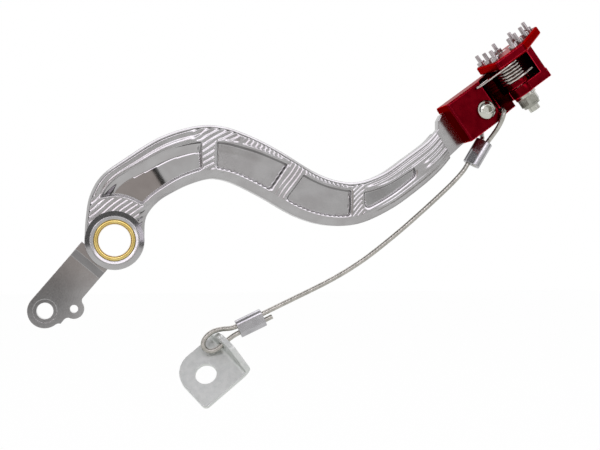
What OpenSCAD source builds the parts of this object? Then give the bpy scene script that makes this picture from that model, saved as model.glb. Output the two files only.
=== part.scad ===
// Rear brake pedal for a motorcycle: a milled lever with a pressed-in bush, a folding toe pad and a wire
// rope that ties the tip back to a bracket. x runs forward, y away from the outer side and z up. The origin
// is the middle of the pivot bore. Most modules draw in the lever's own face plane: x forward, y up, z out.

/* [Lever arm] */
// Forward reach from the pivot to the end of the ridged stretch
arm_reach = 169.6; // [150:0.1:190]
// Thickness of the arm
arm_t = 13; // [10:0.5:18]
// Width of the bevel along the lower edge
low_bevel_w = 4.2; // [2:0.1:5]
// Depth of the bevel along the lower edge
low_bevel_d = 3.4; // [1:0.1:5]
// Width of the bevel along the upper edge
top_bevel_w = 2.6; // [1:0.1:4]
// Depth of the bevel along the upper edge
top_bevel_d = 2.2; // [1:0.1:4]
// Bevel all round the back face
back_bevel = 1.2; // [0.5:0.1:3]
// Depth of the milled pockets
pocket_d = 2.8; // [1:0.1:4]
// Corner radius of the milled pockets
pocket_r = 1.4; // [0.5:0.1:2]
// Border of metal left below a pocket
low_border = 5; // [4.5:0.1:6]
// Border of metal left above the first pocket, where the arm is widest
wide_border = 8.4; // [6:0.1:9]
// Border of metal left above the other pockets
top_border = 4; // [3:0.1:5]
// Radius of the arc round the hub that closes the first pocket
hub_web_r = 22; // [18:0.1:25]
// Depth of the lengthwise grooves behind the tip
groove_d = 1; // [0.4:0.1:1.5]
// Width of the lengthwise grooves
groove_w = 2; // [0.8:0.1:2.2]

/* [Hub] */
// Outside diameter of the hub
hub_d = 29.4; // [27:0.1:34]
// Length of the hub along the pivot
hub_len = 24; // [20:0.5:30]
// Diameter of the raised boss on each side of the hub
boss_d = 24; // [23:0.1:26]
// Radius of the hollow fillet between hub and boss
boss_fillet = 2.6; // [1:0.1:3]
// Chamfer on the rim of the boss
boss_chamfer = 0.7; // [0.2:0.1:1]
// Outside diameter of the bronze bush
bush_od = 20; // [18:0.1:22]
// Bore of the bronze bush
bush_bore = 16; // [12:0.1:17]
// How far the bush stands proud of each boss
bush_proud = 0.4; // [0:0.1:1]
// Chamfer at each mouth of the bush
bush_chamfer = 0.5; // [0.2:0.1:0.8]

/* [Cylinder tab] */
// Distance from the pivot to the clevis hole
clevis_arm = 49; // [44:0.1:56]
// Direction of the clevis hole below the backward horizontal
clevis_angle = 45.9; // [40:0.1:52]
// Diameter of the clevis hole
clevis_d = 8.2; // [6:0.1:10]
// Diameter of the faced ring round the clevis hole
clevis_ring_d = 11.8; // [10:0.1:13]
// Depth of the faced ring
clevis_ring_deep = 0.6; // [0.3:0.1:1]
// Radius of the tab's round end
tab_end_r = 8.6; // [7.5:0.1:10]
// Width of the tab's straight stretch
tab_w = 18.6; // [16:0.1:20]
// Thickness of the tab
tab_t = 6; // [4:0.1:8]
// Thickness of the neck between the hub and the tab
neck_t = 11; // [8:0.1:14]
// Chamfer along the outer edge of the tab
tab_chamfer = 1.8; // [0.5:0.1:2.5]
// Diameter of the return spring's hole
spring_hole_d = 4; // [3:0.1:5]
// Radius of the ear round the return spring's hole
spring_ear_r = 5; // [4:0.1:6]

/* [Tongue and tip carrier] */
// Rise of the tip from the horizontal
tip_angle = 36; // [32:0.5:40]
// Bare length of the tongue between the grooves and the carrier
tongue_bare = 11; // [8:0.1:16]
// Height of the tongue
tongue_h = 19.5; // [17:0.1:21]
// Thickness of the tongue
tongue_t = 6; // [4:0.1:7]
// Length of the tongue inside the carrier
tongue_seat = 19.5; // [16:0.1:21]
// Length of the carrier
carrier_len = 56.2; // [52:0.1:62]
// Depth of the carrier from its outer face to its inner face
carrier_deep = 18.9; // [17:0.1:21]
// Height of the shoulder above the tongue
shoulder_h = 3.6; // [3:0.1:5]
// Gap between the tongue and the shoulder of its seat
seat_gap = 0.1; // [0.05:0.05:0.3]
// Thickness of the carrier's front bar
bar_t = 3.9; // [3:0.1:6]
// Height of the lug that the pivot bolt passes through
lug_h = 5.1; // [4:0.1:6]
// Radius of the lug's rounded front
lug_r = 6.2; // [5.5:0.1:6.5]
// Distance from the pivot bolt to the carrier's front end
bolt_inset = 15.8; // [14:0.1:18]
// Distance from the pivot bolt to the carrier's outer face
bolt_back = 5.4; // [4:0.1:5.5]
// Radius of the hollow round the spring
well_r = 9.4; // [8:0.1:11]
// Thickness of the wall that closes the well at the back
back_wall_t = 3.2; // [2:0.1:5]
// Chamfer along the carrier's outer edges
carrier_chamfer = 0.9; // [0.3:0.1:1.5]
// Radius of the relief milled across the outer face
relief_r = 13.8; // [12:0.1:16]
// Diameter of the hole for the wire rope
rope_hole_d = 3.4; // [3:0.1:4.5]

/* [Carrier screw] */
// Thread diameter of the screws and the pivot bolt
thread_d = 6; // [5:0.1:6]
// Clearance of a through hole on the diameter
hole_gap = 0.4; // [0.2:0.1:0.8]
// Diameter of the button head
button_d = 10.5; // [9:0.1:12]
// Height of the button head
button_h = 3.3; // [2.5:0.1:4]
// Width across the flats of the button head's socket
socket_af = 4; // [3:0.1:4]
// Distance of the screw from the carrier's rear end
screw_back = 15.8; // [13:0.1:17]
// Distance of the screw below the carrier's top
screw_down = 14.3; // [12:0.1:16]

/* [Toe pad] */
// Thickness of the toe pad
pad_t = 4.6; // [3.5:0.1:6]
// Reach of the pad from the pivot bolt to its outer edge
pad_out = 34; // [30:0.1:38]
// Reach of the pad from the pivot bolt to its inner edge
pad_in = 12.5; // [10:0.1:14]
// Reach of the pad from the pivot bolt to its front end
pad_fore = 28.6; // [26:0.1:32]
// Reach of the pad from the pivot bolt to its rear outer corner
pad_aft = 17.6; // [16:0.1:20]
// Gap between the pad and the top of the carrier
pad_gap = 0.3; // [0.2:0.05:0.5]
// Diameter of the pad's boss inside the spring
pad_boss_d = 10.2; // [9:0.1:10.5]
// Corner radius of the pad
pad_corner_r = 2.2; // [1:0.1:4]
// Edge chamfer of the pad
pad_chamfer = 0.6; // [0.2:0.1:1]
// Width of a grip stud's base
stud_base_d = 4.6; // [4:0.1:5]
// Height of a grip stud's base
stud_base_h = 1.9; // [1:0.1:3]
// Diameter of a grip stud's pin
stud_pin_d = 2.1; // [1.5:0.1:3]
// Height of a grip stud's pin
stud_pin_h = 3.8; // [2:0.1:5]
// Depth that a grip stud is screwed into the pad
stud_root = 3.6; // [2:0.1:4]
// Diameter of a grip stud's root
stud_root_d = 2.5; // [2:0.1:3]

/* [Pivot bolt] */
// Diameter of the bolt's flat head
bolt_head_d = 10; // [8:0.1:11]
// Height of the bolt's flat head
bolt_head_h = 2.6; // [1.5:0.1:3]
// Clearance between the bolt and what turns on it, on the diameter
turn_gap = 0.2; // [0.1:0.05:0.4]
// Thickness of the washer
washer_t = 1.5; // [1:0.1:2]
// Outside diameter of the washer
washer_d = 11.8; // [11:0.1:13]
// Width across the flats of the nut
nut_af = 10; // [9:0.1:11]
// Height of the nut's hexagon
nut_h = 4.6; // [4:0.1:6]
// Height of the nut's round collar
nut_collar_h = 1.4; // [1:0.1:2]
// Length of bolt that stands out of the nut
bolt_tail = 2.8; // [1:0.1:4]
// Outside diameter of the collar under the spring
collar_d = 12.9; // [12:0.1:14]
// Height of the collar under the spring
collar_h = 3; // [2:0.1:4]
// Gap between the collar and the lug
collar_gap = 0.5; // [0.2:0.1:1]

/* [Return spring of the pad] */
// Wire diameter of the spring
wire_d = 1.5; // [1:0.1:1.6]
// Outside diameter of the coil
coil_d = 15.2; // [13:0.1:16]
// Number of turns of the coil
coil_turns = 5; // [3:1:5]
// Gap from one turn to the next
coil_gap = 0.16; // [0.1:0.01:0.3]
// Gap between the coil and the pad
coil_clear = 2; // [1:0.1:3]
// Length of the leg that lies on the carrier's outer face
leg_len = 23; // [16:0.1:26]

/* [Wire rope] */
// Diameter of the wire rope
rope_d = 2.5; // [2:0.1:3]
// Length of a crimped ferrule
ferrule_len = 14.2; // [12:0.1:16]
// Width of a crimped ferrule
ferrule_w = 9.4; // [8:0.1:11]
// Thickness of a crimped ferrule
ferrule_t = 5.6; // [4.5:0.1:7]
// Distance between the two strands in a ferrule
strand_gap = 3.4; // [3:0.1:4]

/* [Bracket] */
// Thickness of the bracket's sheet
sheet_t = 2.8; // [2:0.1:4]
// Width of the bracket
bracket_w = 28; // [24:0.1:32]
// Length of the bracket from its bend to its far edge
bracket_len = 30; // [27:0.1:36]
// Height of the bent-up ear above the sheet
ear_h = 11; // [9:0.1:14]
// Inside radius of the bend
bend_r = 1.5; // [1:0.1:3]
// Diameter of the mounting hole
bracket_hole_d = 11; // [8:0.1:13]
// Distance from the mounting hole to the ear's inner face
bracket_hole_in = 15; // [13:0.1:17]
// Diameter of the rope's hole in the ear
ear_hole_d = 4.4; // [3.5:0.1:5]
// Radius of the bracket's large round corner
round_corner_r = 12; // [8:0.1:14]
// Radius of the bracket's small corner
small_corner_r = 2.5; // [1:0.1:4]

/* [Hidden] */

$fn = 72;
over = 1;                                   // overrun of every cutter

// Edges of the arm, station by station from the hub, as shares of its reach
upper_edge_shares = [
    [-0.083, 0.065], [-0.072, 0.129], [-0.039, 0.188], [0.030, 0.241], [0.132, 0.305], [0.238, 0.339],
    [0.322, 0.338], [0.413, 0.307], [0.501, 0.262], [0.596, 0.206], [0.666, 0.181], [0.731, 0.178],
    [0.808, 0.205], [0.884, 0.257], [0.945, 0.302], [0.975, 0.333]];
lower_edge_shares = [
    [0.088, 0.053], [0.100, 0.084], [0.130, 0.117], [0.169, 0.142], [0.217, 0.166], [0.271, 0.183],
    [0.307, 0.183], [0.355, 0.169], [0.433, 0.131], [0.541, 0.072], [0.636, 0.046], [0.734, 0.051],
    [0.837, 0.097], [0.929, 0.162], [0.988, 0.213], [1.025, 0.255]];
steps = 3;                                  // rings of the arm between two stations

arm_face = arm_t / 2;
hub_r = hub_d / 2;
upper_pts = concat([[-hub_r, 0]], upper_edge_shares * arm_reach);
lower_pts = concat([[hub_r, 0]], lower_edge_shares * arm_reach);
last = len(upper_pts) - 1;

// The tip's frame: its origin is on the pivot bolt's axis, level with the top of the carrier
arm_end = (upper_pts[last] + lower_pts[last]) / 2;
tongue_rise_share = 0.18;                   // how far the tongue sits above the arm's end, of its height
tongue_mid = tongue_h * tongue_rise_share;
tip_u = tongue_bare + carrier_len - bolt_inset;
tip_v = tongue_mid + tongue_h / 2 + shoulder_h;
tongue_z0 = -tongue_t + tongue_t / 12;
carrier_z1 = tongue_z0 + carrier_deep;
bolt_z = carrier_z1 - bolt_back;
carrier_h = tongue_h + shoulder_h;
carrier_u0 = bolt_inset - carrier_len;
screw_u = carrier_u0 + screw_back;
lug_u0 = -washer_d / 2 - hole_gap;

// Heights along the pivot bolt, from the top of the carrier up to the pad and down to the lug
coil_r = (coil_d - wire_d) / 2;
coil_pitch = wire_d + coil_gap;
pad_v0 = pad_gap;
pad_v1 = pad_v0 + pad_t;
coil_v1 = pad_v0 - coil_clear - wire_d / 2;
coil_v0 = coil_v1 - coil_turns * coil_pitch;
collar_v1 = coil_v0 - wire_d / 2;
collar_v0 = collar_v1 - collar_h;
lug_v1 = collar_v0 - collar_gap;
lug_v0 = lug_v1 - lug_h;

// Where the grip studs stand on the pad, as shares of its reach fore or aft and of its reach outwards
stud_shares = [
    [-0.40, 0.24], [0.15, 0.24], [0.53, 0.24], [0.87, 0.24],
    [-0.60, -0.32], [0.47, -0.32],
    [-0.73, -0.75], [-0.17, -0.85], [0.14, -0.65]];

// The wire rope's route, from its end in the upper ferrule to its tail beyond the lower one
rope_route = [
    [185.9, -5, 39.1], [189.7, -5, 45.3], [193.5, -5, 51.5], [195.3, -7.4, 54.8], [196.4, -11.2, 57.8],
    [197.2, -14.8, 61], [197.9, -16.8, 64.2], [198.4, -16.2, 66.8], [198.6, -13.6, 67.9], [198.6, -8, 67.9],
    [198.6, 0, 67.9], [198.6, 5.6, 67.9], [198.2, 8.4, 67], [197.2, 9.4, 64.4], [195.8, 8.4, 61.2],
    [194.2, 5.4, 58], [192.6, 0.6, 55.2], [191.1, -3, 52.9], [187.3, -3, 46.7], [183.5, -3, 40.5],
    [181.3, -3, 37.1], [178, -2.8, 33.2], [173, -2.4, 28.1], [165, -2, 20.7], [156.7, -1.6, 13.3],
    [148.6, -1.2, 6.3], [140.4, -0.8, -0.4], [130, -0.4, -8.4], [119.4, 0, -15.4], [108, 0, -21.7],
    [96, 0, -27.5], [86, 0, -32.2], [78.6, 0, -35.7], [74.1, 0, -37.8], [67.8, 0, -40.7],
    [61.5, 0, -43.7], [58, 0.2, -44.8], [53.6, 0.6, -45.2], [49.2, 0.8, -46.4], [45.7, 0.8, -49.2],
    [44.3, 0.6, -52.4], [45.4, 0.4, -55.2], [48.4, 0.2, -56.2], [51.6, 0, -55], [54.6, 0, -52.4],
    [57.4, 0, -50.2], [60, 0, -48.4], [63, 0, -46.8], [69.3, 0, -43.8], [75.6, 0, -40.9],
    [79.6, 0, -39]];

// A Catmull-Rom curve through a list of points
function spline(p, i, f) =
    let (n = len(p) - 1,
         a = p[max(i - 1, 0)], b = p[i], c = p[min(i + 1, n)], d = p[min(i + 2, n)])
    0.5 * (2 * b + (c - a) * f + (2 * a - 5 * b + 4 * c - d) * f * f
        + (3 * b - a - 3 * c + d) * f * f * f);
function along(p, t) = let (i = min(floor(t), len(p) - 2)) spline(p, i, t - i);
function unit(v) = v / norm(v);

// A place on the arm: t counts stations from the hub, and d is the distance in from an edge
function from_lower(t, d) =
    let (a = along(lower_pts, t), b = along(upper_pts, t)) a + unit(b - a) * d;
function from_upper(t, d) =
    let (a = along(lower_pts, t), b = along(upper_pts, t)) b + unit(a - b) * d;

// A stretch of the arm's face between its two borders. Its ends may slant.
function band(low, up, low_edge, up_edge, n = 16) = concat(
    [for (k = [0 : n]) from_lower(low[0] + (low[1] - low[0]) * k / n,
                                  low_edge[0] + (low_edge[1] - low_edge[0]) * k / n)],
    [for (k = [n : -1 : 0]) from_upper(up[0] + (up[1] - up[0]) * k / n,
                                       up_edge[0] + (up_edge[1] - up_edge[0]) * k / n)]);

// The same corners with each one rounded, as points
function rounded(p, r, n = 5) = [
    for (i = [0 : len(p) - 1])
        let (b = p[i], a = unit(p[(i + len(p) - 1) % len(p)] - b), c = unit(p[(i + 1) % len(p)] - b),
             half = acos(a * c) / 2, run = r / tan(half), mid = b + unit(a + c) * r / sin(half),
             s = b + a * run - mid, e = b + c * run - mid)
        for (k = [0 : n]) mid + unit(s * (n - k) + e * k) * r];

// A closed solid from rings of points that all have the same count
function ring_faces(rings, sides) = concat(
    [[for (i = [0 : sides - 1]) i]],
    [for (k = [0 : rings - 2], i = [0 : sides - 1])
        [k * sides + i, (k + 1) * sides + i, (k + 1) * sides + (i + 1) % sides, k * sides + (i + 1) % sides]],
    [[for (i = [sides - 1 : -1 : 0]) (rings - 1) * sides + i]]);

module rings(list) {
    sides = len(list[0]);
    polyhedron(points = [for (r = list) each r], faces = ring_faces(len(list), sides), convexity = 8);
}

// A round wire along a smooth curve through its points
module wire(route, d, per = 1, sides = 8) {
    n = (len(route) - 1) * per;
    pts = [for (k = [0 : n]) along(route, k / per)];
    frames = frames_along(pts, 0, []);
    rings([for (k = [0 : n]) [for (j = [0 : sides - 1])
        pts[k] + (frames[k][0] * cos(360 * j / sides) + frames[k][1] * sin(360 * j / sides)) * d / 2]]);
}
function tangent(p, k) = unit(p[min(k + 1, len(p) - 1)] - p[max(k - 1, 0)]);
function first_side(t) = unit(cross(t, abs(t.y) < 0.9 ? [0, 1, 0] : [1, 0, 0]));
function frames_along(p, k, done) =
    k == len(p) ? done
    : let (t = tangent(p, k), old = k == 0 ? first_side(t) : done[k - 1][0],
           side = unit(old - t * (old * t)))
      frames_along(p, k + 1, concat(done, [[side, cross(t, side)]]));

// Frames of reference
module facing() { rotate([90, 0, 0]) children(); }
module at_tip() {
    facing() translate([arm_end.x, arm_end.y, 0]) rotate(tip_angle) translate([tip_u, tip_v, 0]) children();
}
// Stands a shape on the pivot bolt's axis, with z up the bolt, x forward and y inwards
module on_bolt() { at_tip() translate([0, 0, bolt_z]) rotate([-90, 0, 0]) children(); }

// One ring of the arm's bevelled section at station t
function arm_ring(t) =
    let (w = norm(along(upper_pts, t) - along(lower_pts, t)),
         out = [[0, back_bevel - arm_face], [back_bevel, -arm_face], [w - back_bevel, -arm_face],
                [w, back_bevel - arm_face], [w, arm_face - top_bevel_d], [w - top_bevel_w, arm_face],
                [low_bevel_w, arm_face], [0, arm_face - low_bevel_d]])
    [for (q = out) let (p = from_lower(t, q.x)) [p.x, p.y, q.y]];

module arm_blank() {
    rings([for (k = [0 : last * steps]) arm_ring(k / steps)]);
}

module pocket(low, up, low_edge, up_edge) {
    translate([0, 0, arm_face - pocket_d]) linear_extrude(pocket_d + over)
        offset(r = pocket_r) offset(delta = -pocket_r) polygon(band(low, up, low_edge, up_edge));
}

// Stations where each pocket begins and ends, at its lower side and at its upper side
pocket_stations = [
    [[0.9, 5.75], [0.9, 6.2]],
    [[6.75, 9.1], [6.72, 9.25]],
    [[9.5, 11.7], [9.75, 11.65]],
    [[12.15, 14.05], [12.2, 14.05]]];
// Borders below and above each pocket, where it begins and where it ends
pocket_borders = [
    [[low_border, low_border], [top_border, wide_border]],
    [[low_border, low_border], [wide_border, top_border]],
    [[low_border, low_border], [top_border, top_border]],
    [[low_border * 1.3, low_border * 1.5], [top_border * 1.5, top_border * 1.9]]];
module pockets() {
    difference() {
        for (k = [0 : len(pocket_stations) - 1])
            pocket(pocket_stations[k][0], pocket_stations[k][1], pocket_borders[k][0], pocket_borders[k][1]);
        cylinder(r = hub_web_r, h = hub_len);
    }
}

// Lengthwise grooves of triangular section. The outer ones start beside the last pocket, the inner ones
// beyond it. Their places are shares of the arm's width.
groove_shares = [0.12, 0.27, 0.42, 0.57, 0.72, 0.87];
outer_groove_station = 12.1;
inner_groove_station = 14.5;
groove_rings = 10;
module grooves() {
    for (s = groove_shares) {
        t0 = abs(s - 0.5) > 0.2 ? outer_groove_station : inner_groove_station;
        rings([for (k = [0 : groove_rings])
            let (t = t0 + (last + 0.02 - t0) * k / groove_rings,
                 w = norm(along(upper_pts, min(t, last)) - along(lower_pts, min(t, last))),
                 deep = k == 0 ? groove_d / 4 : groove_d)
            [for (q = [[groove_w / 2 + over / 2, over], [-groove_w / 2 - over / 2, over], [0, -deep]])
                let (p = from_lower(t, w * s + q.x)) [p.x, p.y, arm_face + q.y]]]);
    }
}

module hub() {
    r = boss_d / 2;
    half = [
        [hub_r, arm_face],
        each [for (a = [15 : 15 : 90]) [hub_r - (hub_r - r) * sin(a), arm_face + boss_fillet * (1 - cos(a))]],
        [r, hub_len / 2 - boss_chamfer],
        [r - boss_chamfer, hub_len / 2],
        [0, hub_len / 2]];
    n = len(half) - 1;
    rotate_extrude() polygon(concat(half, [for (k = [n : -1 : 0]) [half[k].x, -half[k].y]]));
}

clevis = [-clevis_arm * cos(clevis_angle), -clevis_arm * sin(clevis_angle)];
tab_dir = 49.7;                             // direction of the tab's straight edges
ear_run = [14.2, 0.9];                      // from the clevis hole to the return spring's hole
module tab_outline() {
    // u runs from the clevis hole towards the hub, and v across
    offset(r = -spring_ear_r / 2) offset(r = spring_ear_r / 2) union() {
        translate(clevis) circle(tab_end_r);
        translate(clevis) rotate(tab_dir) translate([0, tab_end_r - tab_w]) square([clevis_arm, tab_w]);
        translate(clevis + ear_run) circle(spring_ear_r);
    }
}

module cylinder_tab() {
    back = -arm_face - tab_t / 2;
    front = back + tab_t;
    difference() {
        intersection() {
            translate([0, 0, back]) linear_extrude(neck_t) tab_outline();
            translate(clevis) rotate(tab_dir) rotate([90, 0, 0]) translate([0, 0, -tab_w])
                linear_extrude(tab_w * 3) polygon([
                    [-tab_end_r * 2, back], [clevis_arm, back], [clevis_arm, back + neck_t],
                    [clevis_arm * 0.68, back + neck_t], [clevis_arm * 0.6, front], [-tab_end_r * 2, front]]);
        }
        translate([clevis.x, clevis.y, 0]) rotate(tab_dir) translate([0, tab_end_r, front]) rotate([45, 0, 0])
            cube([clevis_arm * 0.56, tab_chamfer, tab_chamfer], center = false);
        translate([clevis.x, clevis.y, back - over]) cylinder(d = clevis_d, h = tab_t + 2 * over);
        translate([clevis.x, clevis.y, front - clevis_ring_deep]) cylinder(d = clevis_ring_d, h = over * 2);
        translate([clevis.x + ear_run.x, clevis.y + ear_run.y, back - over])
            cylinder(d = spring_hole_d, h = tab_t + 2 * over);
    }
}

// Outline of the tongue from the arm's end, as shares of its height; it runs on into the carrier from here
tongue_shares = [
    [-0.16, 0.33], [-0.16, -0.37], [-0.03, -0.38], [0.48, -0.32], [1, -0.32], [1, 0.68], [0.49, 0.68],
    [0.33, 0.60], [0.20, 0.42], [0.02, 0.37]];
module tongue() {
    end = tongue_bare + tongue_seat;
    at_arm_end() difference() {
        translate([0, 0, tongue_z0]) linear_extrude(tongue_t)
            polygon([for (q = tongue_shares) [q.x == 1 ? end : q.x * tongue_h, q.y * tongue_h]]);
        translate([tongue_bare + screw_back, tip_v - screw_down, tongue_z0 - over])
            cylinder(d = thread_d + turn_gap, h = tongue_t + 2 * over);
    }
}
module at_arm_end() { translate([arm_end.x, arm_end.y, 0]) rotate(tip_angle) children(); }

module pedal_arm() {
    color("silver") facing() difference() {
        union() {
            difference() {
                arm_blank();
                pockets();
                grooves();
            }
            hub();
            cylinder_tab();
            tongue();
        }
        cylinder(d = bush_od, h = hub_len + 2 * over, center = true);
    }
}

module pivot_bush() {
    len = hub_len + 2 * bush_proud;
    color("darkgoldenrod") facing() rotate_extrude() polygon([
        [bush_bore / 2, -len / 2 + bush_chamfer], [bush_bore / 2 + bush_chamfer, -len / 2],
        [bush_od / 2, -len / 2], [bush_od / 2, len / 2], [bush_bore / 2 + bush_chamfer, len / 2],
        [bush_bore / 2, len / 2 - bush_chamfer]]);
}

// The carrier's block: its rear part holds the tongue, and its front part ends at the lug's underside
module carrier_block() {
    translate([carrier_u0, -carrier_h, tongue_z0]) cube([lug_u0 - carrier_u0, carrier_h, carrier_deep]);
    translate([lug_u0 - over, lug_v0, tongue_z0]) cube([bolt_inset - lug_u0 + over, -lug_v0, carrier_deep]);
}

// Open well for the pad's boss and the spring
module carrier_well() {
    translate([-well_r / 2, lug_v1, tongue_z0 + back_wall_t])
        cube([bolt_inset - bar_t + well_r / 2, -lug_v1 + over, carrier_deep]);
    translate([0, over, bolt_z]) rotate([90, 0, 0]) cylinder(r = well_r, h = over - lug_v1);
}

// Chamfers of the outer face, and the relief milled across it
module carrier_edges() {
    side = carrier_chamfer * sqrt(2);
    for (u = [carrier_u0, bolt_inset]) translate([u, -carrier_h / 2, carrier_z1]) rotate([0, 45, 0])
        cube([side, carrier_h * 2, side], center = true);
    translate([0, 0, carrier_z1]) rotate([45, 0, 0])
        cube([carrier_len * 3, carrier_chamfer, carrier_chamfer], center = true);
    translate([0, 0, tongue_z0]) rotate([45, 0, 0])
        cube([carrier_len * 3, carrier_chamfer * 2, carrier_chamfer * 2], center = true);
    translate([-lug_r, over, carrier_z1 + relief_r / 3]) rotate([90, 0, 0])
        cylinder(r = relief_r, h = carrier_h + 2 * over);
}

module lug() {
    translate([0, lug_v0, bolt_z]) rotate([-90, 0, 0]) cylinder(r = lug_r, h = lug_h);
    translate([0, lug_v0, tongue_z0]) cube([bolt_inset, lug_h, carrier_deep]);
}

module tip_carrier() {
    rope_hole_u = screw_u + (lug_u0 - screw_u) * 0.4;
    color("firebrick") at_tip() difference() {
        union() {
            difference() {
                carrier_block();
                carrier_well();
                carrier_edges();
            }
            lug();
        }
        // seat of the tongue, open below, behind and at the rear end, then the bolt's hole, the screw's hole
        // and the hole for the rope
        translate([carrier_u0 - over, -carrier_h - over, tongue_z0 - over])
            cube([tongue_seat + over + seat_gap, carrier_h - shoulder_h + over + seat_gap, tongue_t + over]);
        translate([0, lug_v0 - over, bolt_z]) rotate([-90, 0, 0])
            cylinder(d = thread_d + turn_gap, h = lug_h + 2 * over);
        translate([screw_u, -screw_down, 0]) cylinder(d = thread_d + hole_gap, h = carrier_deep);
        translate([rope_hole_u, -carrier_h + rope_hole_d * 1.1, tongue_z0 - over])
            cylinder(d = rope_hole_d, h = carrier_deep + 2 * over);
    }
}

// Quarter of the button head's outline, from its rim up to its flat top
dome_turn = 62;
dome = [for (a = [0 : 0.1 : 1])
    [button_d / 2 * cos(a * dome_turn), button_h * sin(a * dome_turn) / sin(dome_turn)]];
module carrier_screw() {
    socket_floor = button_h * 0.3;
    shank = carrier_deep - tongue_t * 0.1;
    color("lightgray") at_tip() translate([screw_u, -screw_down, carrier_z1]) {
        difference() {
            rotate_extrude() polygon(concat([[0, 0], [button_d / 2, 0]], dome, [[0, button_h]]));
            translate([0, 0, socket_floor]) cylinder(d = socket_af / cos(30), h = button_h, $fn = 6);
        }
        translate([0, 0, -shank]) cylinder(d = thread_d, h = shank + socket_floor / 2);
    }
}

// Corners of the pad, seen from above with x forward and y inwards
pad_corners = [
    [-pad_aft, -pad_out], [0, -pad_out], [pad_fore, pad_in / 3], [pad_fore, pad_in],
    [-pad_aft * 0.55, pad_in]];
module pad_plate() {
    // rounded corners, and a chamfer round both faces
    hull() {
        translate([0, 0, pad_v0]) linear_extrude(pad_t)
            offset(delta = -pad_chamfer) polygon(rounded(pad_corners, pad_corner_r));
        translate([0, 0, pad_v0 + pad_chamfer]) linear_extrude(pad_t - 2 * pad_chamfer)
            polygon(rounded(pad_corners, pad_corner_r));
    }
}
module toe_pad() {
    color("firebrick") on_bolt() difference() {
        union() {
            pad_plate();
            translate([0, 0, collar_v1]) cylinder(d = pad_boss_d, h = pad_v0 - collar_v1 + over);
        }
        translate([0, 0, collar_v1 - over])
            cylinder(d = thread_d + turn_gap, h = pad_v1 - collar_v1 + 2 * over);
        translate([0, 0, pad_v1 - bolt_head_h]) cylinder(d = bolt_head_d + turn_gap, h = pad_t);
        for (i = [0 : len(stud_shares) - 1])
            translate([stud_x(i), stud_y(i), pad_v1 - stud_root]) cylinder(d = stud_root_d, h = pad_t);
    }
}

function stud_x(i) = stud_shares[i].x * (stud_shares[i].x > 0 ? pad_fore : pad_aft);
function stud_y(i) = stud_shares[i].y * pad_out;
module grip_stud(i) {
    top = stud_base_h + stud_pin_h;
    ease = stud_pin_d / 8;
    color("gainsboro") on_bolt() translate([stud_x(i), stud_y(i), pad_v1]) rotate_extrude() polygon([
        [0, -stud_root], [stud_root_d / 2, -stud_root], [stud_root_d / 2, 0], [stud_base_d / 2, 0],
        [stud_base_d / 2, stud_base_h - ease], [stud_base_d / 2 - ease, stud_base_h],
        [stud_pin_d / 2, stud_base_h], [stud_pin_d / 2, top - ease], [stud_pin_d / 2 - ease, top], [0, top]]);
}

module spring_collar() {
    color("firebrick") on_bolt() translate([0, 0, collar_v0]) difference() {
        cylinder(d = collar_d, h = collar_h);
        translate([0, 0, -over]) cylinder(d = thread_d + turn_gap, h = collar_h + 2 * over);
    }
}

bolt_end_v = lug_v0 - washer_t - nut_h - nut_collar_h - bolt_tail;
module pivot_bolt() {
    color("lightgray") on_bolt() {
        difference() {
            translate([0, 0, pad_v1 - bolt_head_h]) cylinder(d = bolt_head_d, h = bolt_head_h);
            translate([0, 0, pad_v1 - bolt_head_h * 0.6])
                cylinder(d = socket_af / cos(30), h = bolt_head_h, $fn = 6);
        }
        translate([0, 0, bolt_end_v]) cylinder(d = thread_d, h = pad_v1 - bolt_head_h * 0.8 - bolt_end_v);
    }
}

module pivot_washer() {
    color("lightgray") on_bolt() translate([0, 0, lug_v0 - washer_t]) difference() {
        cylinder(d = washer_d, h = washer_t);
        translate([0, 0, -over]) cylinder(d = thread_d + hole_gap, h = washer_t + 2 * over);
    }
}

nut_v1 = lug_v0 - washer_t;
insert_t = 0.9;
module pivot_nut() {
    color("lightgray") on_bolt() difference() {
        union() {
            translate([0, 0, nut_v1 - nut_h]) cylinder(d = nut_af / cos(30), h = nut_h, $fn = 6);
            translate([0, 0, nut_v1 - nut_h - nut_collar_h]) cylinder(d = nut_af * 0.92, h = nut_h);
        }
        translate([0, 0, nut_v1 - nut_h * 2]) cylinder(d = thread_d, h = nut_h * 3);
        translate([0, 0, nut_v1 - nut_h - nut_collar_h - over])
            cylinder(d = thread_d + 2 * insert_t, h = nut_collar_h + over);
    }
}

module nut_insert() {
    color("steelblue") on_bolt() translate([0, 0, nut_v1 - nut_h - nut_collar_h]) difference() {
        cylinder(d = thread_d + 2 * insert_t, h = nut_collar_h);
        translate([0, 0, -over]) cylinder(d = thread_d, h = nut_collar_h + 2 * over);
    }
}

// The spring's second leg, as shares of the coil's radius
tail_shares = [[0.5, -0.97], [1.05, -0.8], [1.5, -0.62]];
module fold_spring() {
    coil = [for (k = [0 : coil_turns * 12])
        [coil_r * sin(30 * k), -coil_r * cos(30 * k), coil_v1 - coil_pitch * k / 12]];
    leg = [for (share = [1, 0.66, 0.33]) [-leg_len * share, -coil_r, coil_v1]];
    tail = [for (q = tail_shares) [coil_r * q.x, coil_r * q.y, coil_v0]];
    color("darkgray") on_bolt() wire(concat(leg, coil, tail), wire_d, 1, 8);
}

module rope_cable() {
    color("gray") wire(rope_route, rope_d, 1, 8);
}

// An oval sleeve with one bore for each strand, its axis along z and its strands side by side in x
module ferrule() {
    difference() {
        hull() for (s = [-1, 1]) translate([s * (ferrule_w - ferrule_t) / 2, 0, -ferrule_len / 2])
            cylinder(d = ferrule_t, h = ferrule_len, $fn = 32);
        for (s = [-1, 1]) translate([s * strand_gap / 2, 0, -ferrule_len])
            cylinder(d = rope_d + turn_gap, h = ferrule_len * 2);
    }
}

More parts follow.
